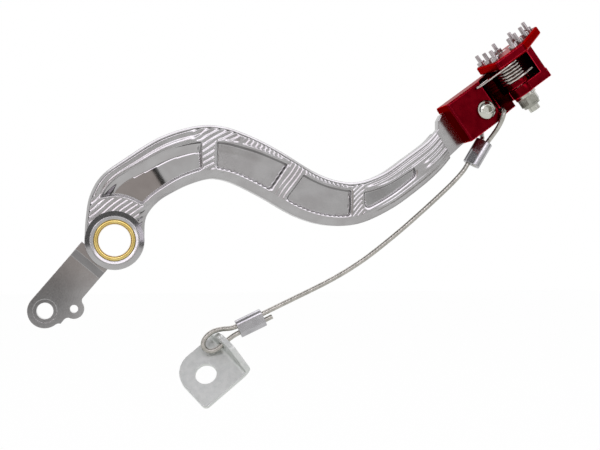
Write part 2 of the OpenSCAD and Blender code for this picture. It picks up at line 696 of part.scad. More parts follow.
// Where each ferrule grips the rope: the first and last point of either strand, by their numbers in the route
upper_grip = [[0, 2], [19, 17]];
lower_grip = [[33, 35], [49, 47]];
// Sets a ferrule round two strands, with its middle between their four points
module ferrule_on(grip) {
    a = [for (k = grip[0]) rope_route[k]];
    b = [for (k = grip[1]) rope_route[k]];
    mid = (a[0] + a[1] + b[0] + b[1]) / 4;
    axis = unit(a[1] - a[0]);
    raw = (b[0] + b[1] - a[0] - a[1]) / 2;
    side = unit(raw - axis * (raw * axis));
    up = cross(axis, side);
    multmatrix([[side.x, up.x, axis.x, mid.x], [side.y, up.y, axis.y, mid.y], [side.z, up.z, axis.z, mid.z],
                [0, 0, 0, 1]]) children();
}
module upper_ferrule() { color("lightsteelblue") ferrule_on(upper_grip) ferrule(); }
module lower_ferrule() { color("lightsteelblue") ferrule_on(lower_grip) ferrule(); }

// Where the bracket hangs on the rope: the middle of its mounting hole, and how it is turned
bracket_place = [45.8, 0, -68.1];
bracket_turn = -46;
bracket_lean = 30;
bracket_nod = 12;
bracket_far = bracket_len - bracket_hole_in - sheet_t;
module rope_bracket() {
    color("gainsboro") translate(bracket_place) facing() rotate(bracket_turn) rotate([0, -bracket_lean, 0])
        rotate([-bracket_nod, 0, 0]) difference() {
            intersection() {
                bent_sheet();
                translate([0, 0, -sheet_t]) linear_extrude(ear_h * 2) bracket_outline();
                translate([0, bracket_len, 0]) rotate([90, 0, 0])
                    linear_extrude(bracket_len * 2) ear_outline();
            }
            cylinder(d = bracket_hole_d, h = sheet_t * 3, center = true);
            translate([-bracket_w * 0.16, bracket_hole_in - over, ear_h * 0.55]) rotate([-90, 0, 0])
                cylinder(d = ear_hole_d, h = sheet_t + 2 * over);
        }
}
// The bracket's sheet before its outlines are cut, with the ear bent up along the front edge
module bent_sheet() {
    mid = [bracket_hole_in - bend_r, sheet_t / 2 + bend_r];
    outer = [for (a = [-90 : 15 : 0]) mid + [cos(a), sin(a)] * (bend_r + sheet_t)];
    inner = [for (a = [0 : -15 : -90]) mid + [cos(a), sin(a)] * bend_r];
    top = ear_h + sheet_t / 2;
    rotate([90, 0, 90]) linear_extrude(bracket_w, center = true) polygon(concat(
        [[-bracket_far, -sheet_t / 2]], outer, [[bracket_hole_in + sheet_t, top], [bracket_hole_in, top]],
        inner, [[-bracket_far, sheet_t / 2]]));
}
module bracket_outline() {
    difference() {
        translate([-bracket_w / 2, -bracket_far])
            square([bracket_w, bracket_far + bracket_hole_in + sheet_t]);
        corner_cut([-bracket_w / 2, -bracket_far], round_corner_r, 0);
        corner_cut([bracket_w / 2, -bracket_far], small_corner_r, 90);
    }
}
module ear_outline() {
    offset(r = small_corner_r) offset(delta = -small_corner_r) polygon([
        [-bracket_w / 2, -ear_h], [bracket_w / 2, -ear_h], [bracket_w / 2, sheet_t * 1.3],
        [bracket_w * 0.1, ear_h + sheet_t / 2], [-bracket_w * 0.2, ear_h + sheet_t / 2],
        [-bracket_w / 2, sheet_t * 1.6]]);
}
// What a round corner leaves off a square one
module corner_cut(at, r, turn) {
    translate(at) rotate(turn) difference() {
        translate([-over, -over]) square(r + over);
        translate([r, r]) circle(r);
    }
}

pedal_arm();
pivot_bush();
tip_carrier();
carrier_screw();
toe_pad();
pivot_bolt();
spring_collar();
pivot_washer();
pivot_nut();
nut_insert();
fold_spring();
rope_cable();
upper_ferrule();
lower_ferrule();
rope_bracket();
for (i = [1 : 9]) grip_stud(i - 1);
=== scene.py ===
import bpy, bmesh, math
import numpy as np
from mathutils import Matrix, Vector


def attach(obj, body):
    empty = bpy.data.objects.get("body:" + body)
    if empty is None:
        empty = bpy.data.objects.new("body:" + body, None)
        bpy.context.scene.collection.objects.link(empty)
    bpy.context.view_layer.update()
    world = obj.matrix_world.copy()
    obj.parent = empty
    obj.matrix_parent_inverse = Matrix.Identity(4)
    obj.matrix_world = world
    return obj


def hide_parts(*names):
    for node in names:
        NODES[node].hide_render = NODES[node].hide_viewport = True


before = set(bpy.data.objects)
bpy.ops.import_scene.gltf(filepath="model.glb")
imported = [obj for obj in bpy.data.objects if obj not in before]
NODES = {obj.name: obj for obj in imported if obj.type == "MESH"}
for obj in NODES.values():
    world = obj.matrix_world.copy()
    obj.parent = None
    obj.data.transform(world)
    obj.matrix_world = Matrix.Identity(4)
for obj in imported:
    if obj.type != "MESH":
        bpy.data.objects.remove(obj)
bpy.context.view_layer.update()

MM = 0.001


# Camera: it stands on the pivot's axis and is turned towards the picture's middle
CAMERA_FAR = 537                # mm from the pivot
CAMERA_TILT = 90.8285           # degrees up from straight down
CAMERA_TURN = -9.938            # degrees round the upright
cam_data = bpy.data.cameras.new("camera")
camera = bpy.data.objects.new("camera", cam_data)
bpy.context.collection.objects.link(camera)
camera.location = (0, -CAMERA_FAR * MM, 0)
camera.rotation_euler = (math.radians(CAMERA_TILT), 0, math.radians(CAMERA_TURN))
cam_data.sensor_width = 36
cam_data.lens = 63.48
cam_data.clip_start = 0.01
cam_data.clip_end = 50
bpy.context.scene.camera = camera
bpy.context.scene.view_settings.view_transform = "Standard"


# Materials

# Most values of a noise texture lie between these, in its broad clouds and in its fine grain
CLOUDS = {"From Min": 0.35, "From Max": 0.65}
GRAINS = {"From Min": 0.3, "From Max": 0.7}


def linear(code):
    """An sRGB hex colour as linear values"""
    out = []
    for i in (1, 3, 5):
        c = int(code[i:i + 2], 16) / 255
        out.append(c / 12.92 if c <= 0.04045 else ((c + 0.055) / 1.055) ** 2.4)
    return (*out, 1)


def add(tree, kind, values=None, links=None, **settings):
    """A new node with its settings, its values by socket and its links by socket"""
    node = tree.nodes.new(kind)
    for name, value in settings.items():
        setattr(node, name, value)
    for socket, value in (values or {}).items():
        node.inputs[socket].default_value = value
    for socket, source in (links or {}).items():
        tree.links.new(source, node.inputs[socket])
    return node


def new_tree(name):
    """A material and its empty node tree"""
    mat = bpy.data.materials.new(name)
    mat.use_nodes = True
    mat.node_tree.nodes.clear()
    return mat, mat.node_tree


def mottled(t, dark, light, grain_mm, grain_detail, cloud_mm):
    """A fine grain, and a colour that wanders between two tones in larger clouds"""
    place = add(t, "ShaderNodeTexCoord").outputs["Object"]
    grain = add(t, "ShaderNodeTexNoise", {"Scale": 1 / (grain_mm * MM), "Detail": grain_detail},
                {"Vector": place})
    cloud = add(t, "ShaderNodeTexNoise", {"Scale": 1 / (cloud_mm * MM), "Detail": 2},
                {"Vector": place})
    tone = add(t, "ShaderNodeMapRange", CLOUDS, {"Value": cloud.outputs[0]})
    color = add(t, "ShaderNodeMix", {6: linear(dark), 7: linear(light)}, {0: tone.outputs[0]},
                data_type="RGBA")
    return grain.outputs[0], color.outputs[2]


def metal(name, dark, light, rough, grain_mm, grain_deep_mm, edge_mm, tint="#ffffff", thin=None):
    """A metal whose tone and polish wander with a fine grain, and whose edges are slightly
    broken. The real grain is too fine to show, so it is drawn coarser, at grain_mm. tint colours
    the glancing reflections, and thin is a painted highlight, a paler colour over the edges."""
    mat, t = new_tree(name)
    grain, color = mottled(t, dark, light, grain_mm, 4, 6 * grain_mm)
    polish = add(t, "ShaderNodeMapRange", {**GRAINS, "To Min": rough * 0.8, "To Max": rough * 1.2},
                 {"Value": grain})
    edge = add(t, "ShaderNodeBevel", {"Radius": edge_mm * MM}, samples=6)
    # painted highlight: the colour turns paler where the rounded edge bends away from the face
    if thin:
        flat = add(t, "ShaderNodeNewGeometry").outputs["Normal"]
        turn = add(t, "ShaderNodeVectorMath", None, {0: edge.outputs[0], 1: flat},
                   operation="DOT_PRODUCT")
        worn = add(t, "ShaderNodeMapRange",
                   {"From Min": 0.90, "From Max": 0.99, "To Min": 1, "To Max": 0},
                   {"Value": turn.outputs["Value"]})
        color = add(t, "ShaderNodeMix", {7: linear(thin)}, {0: worn.outputs[0], 6: color},
                    data_type="RGBA").outputs[2]
    bump = add(t, "ShaderNodeBump", {"Strength": 1, "Distance": grain_deep_mm * MM},
               {"Height": grain, "Normal": edge.outputs[0]})
    skin = add(t, "ShaderNodeBsdfPrincipled", {"Metallic": 1, "Specular Tint": linear(tint)},
               {"Base Color": color, "Roughness": polish.outputs[0], "Normal": bump.outputs[0]})
    add(t, "ShaderNodeOutputMaterial", None, {"Surface": skin.outputs[0]})
    return mat


def machined_aluminium():
    """Milled and tumbled aluminium, satin grey, with its grain drawn coarser than it is. The
    rough attribute of each piece says how it is finished: the first pocket's floor is polished
    and shows the room, the tab and the slot are half as rough as the face, and the tongue is
    nearly as dull."""
    mat, t = new_tree("machined_aluminium")
    grain, color = mottled(t, "#a5a3a3", "#aeadad", 0.9, 5, 9)
    rough = add(t, "ShaderNodeAttribute", attribute_name="rough").outputs["Fac"]
    wear = add(t, "ShaderNodeMapRange", {**GRAINS, "To Min": 0.85, "To Max": 1.15},
               {"Value": grain})
    polish = add(t, "ShaderNodeMath", None, {0: rough, 1: wear.outputs[0]}, operation="MULTIPLY")
    grain_deep = add(t, "ShaderNodeMath", {1: 0.03 * MM}, {0: rough}, operation="MULTIPLY")
    edge = add(t, "ShaderNodeBevel", {"Radius": 0.3 * MM}, samples=6)
    bump = add(t, "ShaderNodeBump", {"Strength": 1},
               {"Distance": grain_deep.outputs[0], "Height": grain, "Normal": edge.outputs[0]})
    skin = add(t, "ShaderNodeBsdfPrincipled", {"Metallic": 1},
               {"Base Color": color, "Roughness": polish.outputs[0], "Normal": bump.outputs[0]})
    add(t, "ShaderNodeOutputMaterial", None, {"Surface": skin.outputs[0]})
    return mat


def nut_nylon():
    """The dyed nylon ring of the lock nut: dull, with no metal in it"""
    mat, t = new_tree("nut_nylon")
    place = add(t, "ShaderNodeTexCoord").outputs["Object"]
    grain = add(t, "ShaderNodeTexNoise", {"Scale": 1 / (0.6 * MM), "Detail": 3},
                {"Vector": place}).outputs[0]
    color = add(t, "ShaderNodeMix", {6: linear("#6d7780"), 7: linear("#8b959d")}, {0: grain},
                data_type="RGBA")
    bump = add(t, "ShaderNodeBump", {"Strength": 1, "Distance": 0.01 * MM}, {"Height": grain})
    skin = add(t, "ShaderNodeBsdfPrincipled", {"Roughness": 0.55},
               {"Base Color": color.outputs[2], "Normal": bump.outputs[0]})
    add(t, "ShaderNodeOutputMaterial", None, {"Surface": skin.outputs[0]})
    return mat


ALUMINIUM = machined_aluminium()
# turned bearing bronze: a pale gold with fine scratches round the bore
BRONZE = metal("bush_bronze", "#cdb264", "#dcc67f", 0.2, 1.0, 0.005, 0.15)
# anodised aluminium: the dye sits in a clear oxide skin, so its reflections are red too, and a
# painted highlight makes its colour paler along the edges
RED = metal("red_anodised", "#54000a", "#62030e", 0.2, 0.7, 0.003, 0.9,
            tint="#d0202c", thin="#f03048")
# stainless fasteners: bright, warm-grey and smooth
STEEL = metal("steel_fastener", "#b0b0a7", "#c6c6bd", 0.14, 1.2, 0.005, 0.2)
# the lock nut is duller and darker than the turned screws
NUT = metal("nut_steel", "#8d8d84", "#ababa2", 0.2, 0.9, 0.008, 0.3)
# small turned studs: the smoothest of the steel pieces
STUD = metal("stud_steel", "#8f8787", "#b4acad", 0.09, 0.9, 0.004, 0.15)
NYLON = nut_nylon()
# drawn spring wire
SPRING = metal("spring_steel", "#b2ada7", "#cbc6bf", 0.18, 0.8, 0.004, 0.1)
# stranded wire, dulled by its own furrows
ROPE = metal("rope_steel", "#a09e97", "#b6b3ac", 0.32, 0.5, 0.006, 0.05)
# pressed aluminium sleeves with a satin skin
FERRULE = metal("ferrule_aluminium", "#a5a4a6", "#b7b6b8", 0.24, 1.2, 0.008, 0.5)
# pickled and blasted stainless sheet: matt, almost white, and evenly pitted
BRACKET = metal("bracket_steel", "#cdd0cd", "#d6d8d5", 0.55, 0.45, 0.008, 0.3)

FINISH = {
    "pedal_arm": ALUMINIUM, "pivot_bush": BRONZE, "tip_carrier": RED, "toe_pad": RED,
    "spring_collar": RED, "carrier_screw": STEEL, "pivot_bolt": STEEL, "pivot_washer": STEEL,
    "pivot_nut": NUT, "nut_insert": NYLON, "fold_spring": SPRING, "upper_ferrule": FERRULE,
    "lower_ferrule": FERRULE, "rope_bracket": BRACKET}
FINISH.update({"grip_stud_%d" % k: STUD for k in range(1, 10)})
for node, finish in FINISH.items():
    NODES[node].data.materials.clear()
    NODES[node].data.materials.append(finish)


# Pieces

def piece(name, mesh, material, slot, *replaced, smooth=True):
    """An object of the lever that stands for CAD nodes"""
    mesh.materials.append(material)
    mesh.polygons.foreach_set("use_smooth", [smooth] * len(mesh.polygons))
    ob = bpy.data.objects.new(name, mesh)
    bpy.context.collection.objects.link(ob)
    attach(ob, "lever")
    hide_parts(*replaced)
    return ob


# The wire rope: its route in mm, then a six-stranded twisted tube along it
ROUTE = [
    [185.9, -5, 39.1], [189.7, -5, 45.3], [193.5, -5, 51.5], [195.3, -7.4, 54.8],
    [196.4, -11.2, 57.8], [197.2, -14.8, 61], [197.9, -16.8, 64.2], [198.4, -16.2, 66.8],
    [198.6, -13.6, 67.9], [198.6, -8, 67.9], [198.6, 0, 67.9], [198.6, 5.6, 67.9],
    [198.2, 8.4, 67], [197.2, 9.4, 64.4], [195.8, 8.4, 61.2], [194.2, 5.4, 58],
    [192.6, 0.6, 55.2], [191.1, -3, 52.9], [187.3, -3, 46.7], [183.5, -3, 40.5],
    [181.3, -3, 37.1], [178, -2.8, 33.2], [173, -2.4, 28.1], [165, -2, 20.7],
    [156.7, -1.6, 13.3], [148.6, -1.2, 6.3], [140.4, -0.8, -0.4], [130, -0.4, -8.4],
    [119.4, 0, -15.4], [108, 0, -21.7], [96, 0, -27.5], [86, 0, -32.2], [78.6, 0, -35.7],
    [74.1, 0, -37.8], [67.8, 0, -40.7], [61.5, 0, -43.7], [58, 0.2, -44.8], [53.6, 0.6, -45.2],
    [49.2, 0.8, -46.4], [45.7, 0.8, -49.2], [44.3, 0.6, -52.4], [45.4, 0.4, -55.2],
    [48.4, 0.2, -56.2], [51.6, 0, -55], [54.6, 0, -52.4], [57.4, 0, -50.2], [60, 0, -48.4],
    [63, 0, -46.8], [69.3, 0, -43.8], [75.6, 0, -40.9], [79.6, 0, -39]]
ROPE_D = 2.5
STRANDS = 6
STRAND_SHARE = 0.05             # how deep the furrows between the strands are, of the radius
ROPE_LAY = 11.0                 # length of one twist
ROPE_STEP = 0.4
ROPE_SIDES = 36


def catmull(points, t):
    """A smooth curve through the points, at an array of stations"""
    p = np.array(points, float)
    n = len(p) - 1
    i = np.clip(np.floor(t).astype(int), 0, n - 1)
    f = (t - i)[:, None]
    a, b, c, d = p[np.maximum(i - 1, 0)], p[i], p[i + 1], p[np.minimum(i + 2, n)]
    bend, turn = 2 * a - 5 * b + 4 * c - d, 3 * b - a - 3 * c + d
    return 0.5 * (2 * b + (c - a) * f + bend * f ** 2 + turn * f ** 3)


def evenly(points, step):
    """The smooth curve through the points at even distances, and its length"""
    fine = catmull(points, np.linspace(0, len(points) - 1, 40 * len(points)))
    run = np.concatenate([[0], np.cumsum(np.linalg.norm(np.diff(fine, axis=0), axis=1))])
    at = np.linspace(0, run[-1], round(run[-1] / step) + 1)
    return np.stack([np.interp(at, run, fine[:, k]) for k in range(3)], axis=1), run[-1]


def tube(path, radius):
    """A closed tube; radius(i, angle) gives its size at point i of the path"""
    sides, last = ROPE_SIDES, len(path) - 1
    verts, faces, side = [], [], None
    for i, p in enumerate(path):
        way = Vector(path[min(i + 1, last)] - path[max(i - 1, 0)]).normalized()
        if side is None:
            side = way.cross(Vector((0, 1, 0)))
        side = (side - way * side.dot(way)).normalized()
        up = way.cross(side)
        for j in range(sides):
            a = 2 * math.pi * j / sides
            out = (side * math.cos(a) + up * math.sin(a)) * radius(i, a)
            verts.append((Vector(p) + out) * MM)
    for i in range(last):
        for j in range(sides):
            k = (j + 1) % sides
            faces.append((i * sides + j, i * sides + k, (i + 1) * sides + k, (i + 1) * sides + j))
    faces.append(tuple(range(sides))[::-1])
    faces.append(tuple(last * sides + j for j in range(sides)))
    mesh = bpy.data.meshes.new("tube")
    mesh.from_pydata([tuple(v) for v in verts], [], faces)
    return mesh


def wire_rope():
    """The rope that the ferrules and the bracket hang on"""
    path, length = evenly(ROUTE, ROPE_STEP)
    step = length / (len(path) - 1)

    def furrowed(i, angle):
        twist = 2 * math.pi * i * step / ROPE_LAY
        bulge = abs(math.cos(STRANDS * (angle - twist) / 2))
        return ROPE_D / 2 * (1 - STRAND_SHARE * (1 - bulge))

    rope = piece("wire_rope", tube(path, furrowed), ROPE, "rope_steel", "rope_cable")


wire_rope()


# The lever's arm: the solid's two edge curves, with the cutter's work on the face between them,
# in mm. Stations count the points of the curves, from the hub to the tongue.
REACH = 169.6
UPPER_SHARES = [
    [-0.083, 0.065], [-0.072, 0.129], [-0.039, 0.188], [0.030, 0.241], [0.132, 0.305],
    [0.238, 0.339], [0.322, 0.338], [0.413, 0.307], [0.501, 0.262], [0.596, 0.206],
    [0.666, 0.181], [0.731, 0.178], [0.808, 0.205], [0.884, 0.257], [0.945, 0.302],
    [0.975, 0.333]]
LOWER_SHARES = [
    [0.088, 0.053], [0.100, 0.084], [0.130, 0.117], [0.169, 0.142], [0.217, 0.166],
    [0.271, 0.183], [0.307, 0.183], [0.355, 0.169], [0.433, 0.131], [0.541, 0.072],
    [0.636, 0.046], [0.734, 0.051], [0.837, 0.097], [0.929, 0.162], [0.988, 0.213],
    [1.025, 0.255]]
RINGS = 820                     # rings of points along the arm
# Points across the face: over the lower bevel and border, the lower wall, the floor, the upper
# wall, the upper border and the upper bevel
COLUMNS = [14, 14, 40, 10, 12, 12]
ARM_FACE = 6.5                  # from the arm's middle to its face
HUB_R = 14.7
HUB_WEB_R = 22                  # the hub's web ends and the first pocket begins
# Width and depth of the bevels, and how round they are
LOW_BEVEL = (4.2, 3.4, 1.15)
TOP_BEVEL = (2.3, 2.4, 2)
BACK_BEVEL = 1.2
# How rough the metal is: the face, the first pocket's floor, the tab, the tongue and the slot
SATIN, POLISHED, TAB_POLISH, TONGUE_SATIN, SLOT_POLISH = 0.2, 0.045, 0.09, 0.17, 0.1

# Pockets: the stations where each begins and ends, at its lower side and at its upper side
POCKETS = [
    [(0.90, 5.75), (0.90, 6.20)],
    [(6.75, 9.10), (6.72, 9.25)],
    [(9.50, 11.70), (9.75, 11.65)],
    [(12.15, 14.05), (12.20, 14.05)]]
FIRST, SLOT = 0, 3              # the pocket by the hub, and the one beside the flutes
POCKET_DEEP = 2.8
CORNERS = [1.6, 1.6, 1.6, 3.4]  # how round each pocket's corners are
EASY_WALL = 5.5                 # width of the gentle part of the first pocket's upper wall
# Along the arm: station, border below and above the pockets, the width of the fillets at the
# lower and upper walls, and how much of the upper wall is steep
BORDERS = np.array([
    [0.0, 5.0, 4.0, 1.0, 1.0, 0.15], [0.9, 5.0, 4.0, 1.0, 1.0, 0.15],
    [5.0, 5.0, 7.3, 1.0, 1.0, 0.15], [6.2, 5.0, 8.2, 1.0, 1.0, 0.30],
    [6.7, 5.0, 8.4, 0.8, 1.0, 0.9], [7.6, 5.0, 6.9, 0.8, 1.3, 0.9],
    [9.25, 5.0, 4.0, 0.8, 0.9, 1.0], [11.8, 5.0, 4.0, 0.8, 0.9, 1.0],
    [12.15, 6.3, 5.6, 0.9, 0.8, 1.0], [14.05, 6.9, 6.9, 0.8, 0.8, 1.0],
    [16.0, 6.9, 6.9, 0.8, 0.8, 1.0]])
# How deep and how wide the pockets' rims are eased, the first one's and the others'
FIRST_RIM, RIM = (0.17, 0.8), (0.30, 1.5)
# The dark pole that the first pocket mirrors leans by this much sideways for each step up. The
# pocket's floor is crowned along the pole's image: where its ridge crosses the X axis, how fast
# it falls away from there, and by how much at most.
POLE_LEAN = 0.62
CROWN_AT, CROWN_FALL, CROWN_MOST = 41.6, 0.0016, 1.2

# Teeth on the lower walls of the pockets beyond the first: how deep, how far apart, and from
# which station to which
TOOTH_DEEP, TOOTH_PITCH, TEETH = 0.3, 2.3, (6.4, 11.9)
# The channel above the first pocket: how deep, how far in from the upper edge, and from which
# station to which
CHANNEL_DEEP, CHANNEL_IN, CHANNEL = 0.4, 4.2, (1.2, 6.6)
# The flutes that run into the tongue: how deep, how many side by side, the share of the width
# below the first and of each, and the stations where the outer and the inner ones begin
FLUTE_DEEP, FLUTES, FLUTES_FROM, FLUTE_SHARE = 0.42, 6, 0.045, 0.15
OUTER_FLUTES, INNER_FLUTES = 12.1, 14.3
# Where the cutter's strokes show on the bare metal: first and last station, direction above the
# horizontal in degrees and distance between strokes
STROKES = [
    (0.0, 3.6, 38, 2.3), (5.7, 7.6, 31, 2.6), (7.6, 9.1, 48, 2.3), (9.1, 11.6, 55, 2.2),
    (11.6, 12.3, 47, 1.7)]
STROKE_DEEP = 0.33
WANDER, WANDER_X, WANDER_Z = 0.25, 5.1, 3.7     # how far they stray, and over what lengths
STROKES_PAST_WEB = 3.5          # how far the strokes by the hub run past its web


def soft(x):
    """Eases from 0 to 1"""
    x = np.clip(x, 0, 1)
    return x * x * (3 - 2 * x)


def within(t, start, end, ease_in, ease_out):
    """1 between two stations, eased to 0 at both ends"""
    return soft((t - start) / ease_in) * soft((end - t) / ease_out)


def pocket_cut(k, t, share, below, above, walls, pace, from_hub):
    """How much of pocket k's depth is cut, 0 to 1, how far inside its rim a place is, and how
    far inside its lower side and ends"""
    low, top = POCKETS[k]
    start = low[0] + (top[0] - low[0]) * share
    end = low[1] + (top[1] - low[1]) * share
    first = (t - start) * pace
    if k == FIRST:
        first = np.minimum(first, from_hub - HUB_WEB_R)
    ends = np.minimum(first, (end - t) * pace)
    corner = CORNERS[k]

    def rounded_min(a, b):
        rounded = corner - np.hypot(corner - a, corner - b)
        return np.where((a < corner) & (b < corner), rounded, np.minimum(a, b))

    low_wall, top_wall, steep = walls
    low_side = rounded_min(ends, below)
    inside = np.minimum(low_side, rounded_min(ends, above))
    top_cut = steep * soft(above / top_wall) + (1 - steep) * soft(above / EASY_WALL)
    return np.minimum(soft(low_side / low_wall), top_cut), inside, low_side


def cutter_work(t, d, w, px, pz, pace):
    """How far the cutter has gone below the face, in mm, and how rough it left the metal. Each
    place has its station t, its distance d from the lower edge, the arm's width w there, its
    point px, pz and the length of a station, pace."""
    share, up = d / w, w - d
    low_edge, top_edge, low_wall, top_wall, steep = [
        np.interp(t, BORDERS[:, 0], BORDERS[:, k]) for k in range(1, 6)]
    below, above = d - low_edge, up - top_edge
    teeth = TOOTH_DEEP * np.sin(2 * math.pi * px / TOOTH_PITCH)
    below = below + teeth * within(t, *TEETH, 0.4, 0.3)
    from_hub = np.hypot(px, pz)
    deep = np.zeros_like(d)
    bare = np.ones_like(d)
    rough = np.full_like(d, SATIN)
    for k in range(len(POCKETS)):
        cut, inside, low_side = pocket_cut(
            k, t, share, below, above, (low_wall, top_wall, steep), pace, from_hub)
        deep += POCKET_DEEP * cut
        # the rim of the lower wall and of the ends is eased and catches the light, and the first
        # pocket's runs on to the foot of its gentle upper wall
        rim_deep, rim_wide = FIRST_RIM if k == FIRST else RIM
        rim = cut < 0.999 if k == FIRST else low_side < low_wall
        ease = soft((low_side + rim_wide) / (rim_wide + 0.2)) * soft((inside + rim_wide) / 0.4)
        deep += rim_deep * ease * rim
        bare = np.minimum(bare, 1 - soft((inside + rim_wide + 0.1) / 0.5))
        if k == SLOT:
            rough -= (SATIN - SLOT_POLISH) * soft((inside - 0.3) / 0.6)
        if k == FIRST:
            rough -= (SATIN - POLISHED) * soft((inside - 0.9) / 0.6)
            off_ridge = (px + POLE_LEAN * pz - CROWN_AT) / math.hypot(1, POLE_LEAN)
            deep += cut * np.minimum(CROWN_FALL * off_ridge ** 2, CROWN_MOST)
    lane = within(t, *CHANNEL, 1.5, 1.2) * soft((up - 2.2) / 0.8)
    deep += CHANNEL_DEEP * lane * np.exp(-(up - CHANNEL_IN) ** 2)
    # the outer flutes begin beside the slot, and the inner ones beyond it
    number = np.floor((share - FLUTES_FROM) / FLUTE_SHARE)
    along = (share - FLUTES_FROM) / FLUTE_SHARE - number
    first = np.where((number <= 1) | (number >= FLUTES - 2), OUTER_FLUTES, INNER_FLUTES)
    flute = (0.5 - 0.5 * np.cos(2 * math.pi * along)) * soft((t - first) / 0.6)
    deep += FLUTE_DEEP * np.where((number >= 0) & (number < FLUTES), flute, 0) * bare
    # the strokes of the ball cutter are round valleys with sharp crests between them
    wander = WANDER * np.sin(px / WANDER_X + pz / WANDER_Z)
    for start, end, turn, pitch in STROKES:
        a = math.radians(turn)
        wave = np.abs(np.sin(math.pi * (-px * math.sin(a) + pz * math.cos(a) + wander) / pitch))
        where = within(t, start, end, 0.25, 0.25) * bare
        where = where * soft((d - 0.8) / 2.4) * soft((up - 1) / 1.2)
        if start == 0:
            where = where * soft((HUB_WEB_R + STROKES_PAST_WEB - from_hub) / 2)
        deep += STROKE_DEEP * wave * where
    return deep, rough


def arm_mesh():
    """The arm between the hub and the tongue. Its points are worked out one by one, because the
    pockets, strokes and flutes follow two free curves."""
    t = np.linspace(0, len(UPPER_SHARES), RINGS)
    lower = catmull([[HUB_R, 0]] + [[x * REACH, z * REACH] for x, z in LOWER_SHARES], t)
    upper = catmull([[-HUB_R, 0]] + [[x * REACH, z * REACH] for x, z in UPPER_SHARES], t)
    w = np.linalg.norm(upper - lower, axis=1)
    low_edge, top_edge, low_wall, top_wall = [
        np.interp(t, BORDERS[:, 0], BORDERS[:, k]) for k in range(1, 5)]
    # columns follow the bevels and the pockets' walls
    stops = [np.zeros(RINGS), low_edge - 0.9, low_edge + low_wall + 0.3,
             w - top_edge - top_wall - 0.3, w - top_edge + 0.5, w - TOP_BEVEL[0], w]
    d = np.concatenate(
        [a[:, None] + (b - a)[:, None] * np.linspace(0, 1, n, endpoint=False)
         for a, b, n in zip(stops, stops[1:], COLUMNS)] + [w[:, None]], axis=1)
    w, t = w[:, None], t[:, None]
    across = (upper - lower) / w
    px = lower[:, :1] + across[:, :1] * d
    pz = lower[:, 1:] + across[:, 1:] * d
    pace = np.hypot(np.gradient(px, axis=0), np.gradient(pz, axis=0)) / np.gradient(t, axis=0)

    # the lower bevel is nearly flat, and the upper one is rounded right into the face
    deep, rough = cutter_work(t, d, w, px, pz, pace)
    front = ARM_FACE - deep
    for (wide, low, bow), from_edge in ((LOW_BEVEL, d), (TOP_BEVEL, w - d)):
        front -= low * (1 - np.clip(from_edge / wide, 0, 1)) ** bow
    back_d = np.concatenate(
        [w, w - BACK_BEVEL, w / 2, np.full_like(w, BACK_BEVEL), np.zeros_like(w)], axis=1)
    side, back = ARM_FACE - BACK_BEVEL, ARM_FACE
    x = np.concatenate([px, lower[:, :1] + across[:, :1] * back_d], axis=1)
    y = np.concatenate([-front, np.tile([side, back, back, back, side], (RINGS, 1))], axis=1)
    z = np.concatenate([pz, lower[:, 1:] + across[:, 1:] * back_d], axis=1)
    sides = x.shape[1]
    i, j = np.meshgrid(np.arange(RINGS - 1), np.arange(sides), indexing="ij")
    k = (j + 1) % sides
    quads = [i * sides + j, (i + 1) * sides + j, (i + 1) * sides + k, i * sides + k]
    faces = np.stack(quads, axis=-1).reshape(-1, 4).tolist()
    faces.append(list(range(sides)))
    faces.append([(RINGS - 1) * sides + j for j in range(sides)][::-1])
    mesh = bpy.data.meshes.new("arm")
    mesh.from_pydata((np.stack([x, y, z], axis=-1).reshape(-1, 3) * MM).tolist(), [], faces)
    finish_as(mesh, np.concatenate([rough, np.full_like(back_d, SATIN)], axis=1).ravel())
    return mesh


def finish_as(mesh, rough):
    """Stores how rough each vertex's metal is"""
    mark = mesh.attributes.new("rough", "FLOAT", "POINT")
    mark.data.foreach_set("value", np.broadcast_to(rough, len(mesh.vertices)).astype(float))


def cut_round_pivot(ob, radius):
    """Takes a round hole about the pivot out of a piece with a Boolean modifier"""
    bpy.ops.mesh.primitive_cylinder_add(
        vertices=96, radius=radius * MM, depth=60 * MM, rotation=(math.pi / 2, 0, 0))
    cutter = bpy.context.object
    hole = ob.modifiers.new("hole", "BOOLEAN")
    hole.object = cutter
    bpy.context.view_layer.objects.active = ob
    bpy.ops.object.modifier_apply(modifier="hole")
    bpy.data.objects.remove(cutter)


# The hub and the bush, turned about the pivot: half outlines of radius and height above the
# arm's middle plane
ARM_HOLE_R = 11.5               # the arm ends inside the hub
TURN_STEPS = 144
TURNED_SHARP = 30               # degrees between faces that meet in a sharp edge
# a cone up to the boss, whose face is dished round the bush
HUB_HALF = [(HUB_R, 5.9), (HUB_R - 0.2, 6.5), (12.15, 7.95), (12, 8.3), (12, 11.6), (11.9, 11.9),
            (11.6, 12), (10.25, 11.64), (10.0, 11.4)]
# a rounded lip, then the bore
LIP_MIDDLE, LIP_SIZE = (9.1, 12.05), (0.85, 0.35)
BUSH_HALF = [(9.98, 11.0)] + [
    (LIP_MIDDLE[0] + LIP_SIZE[0] * math.cos(a), LIP_MIDDLE[1] + LIP_SIZE[1] * math.sin(a))
    for a in np.radians(range(0, 181, 15))] + [(8.0, 11.7)]


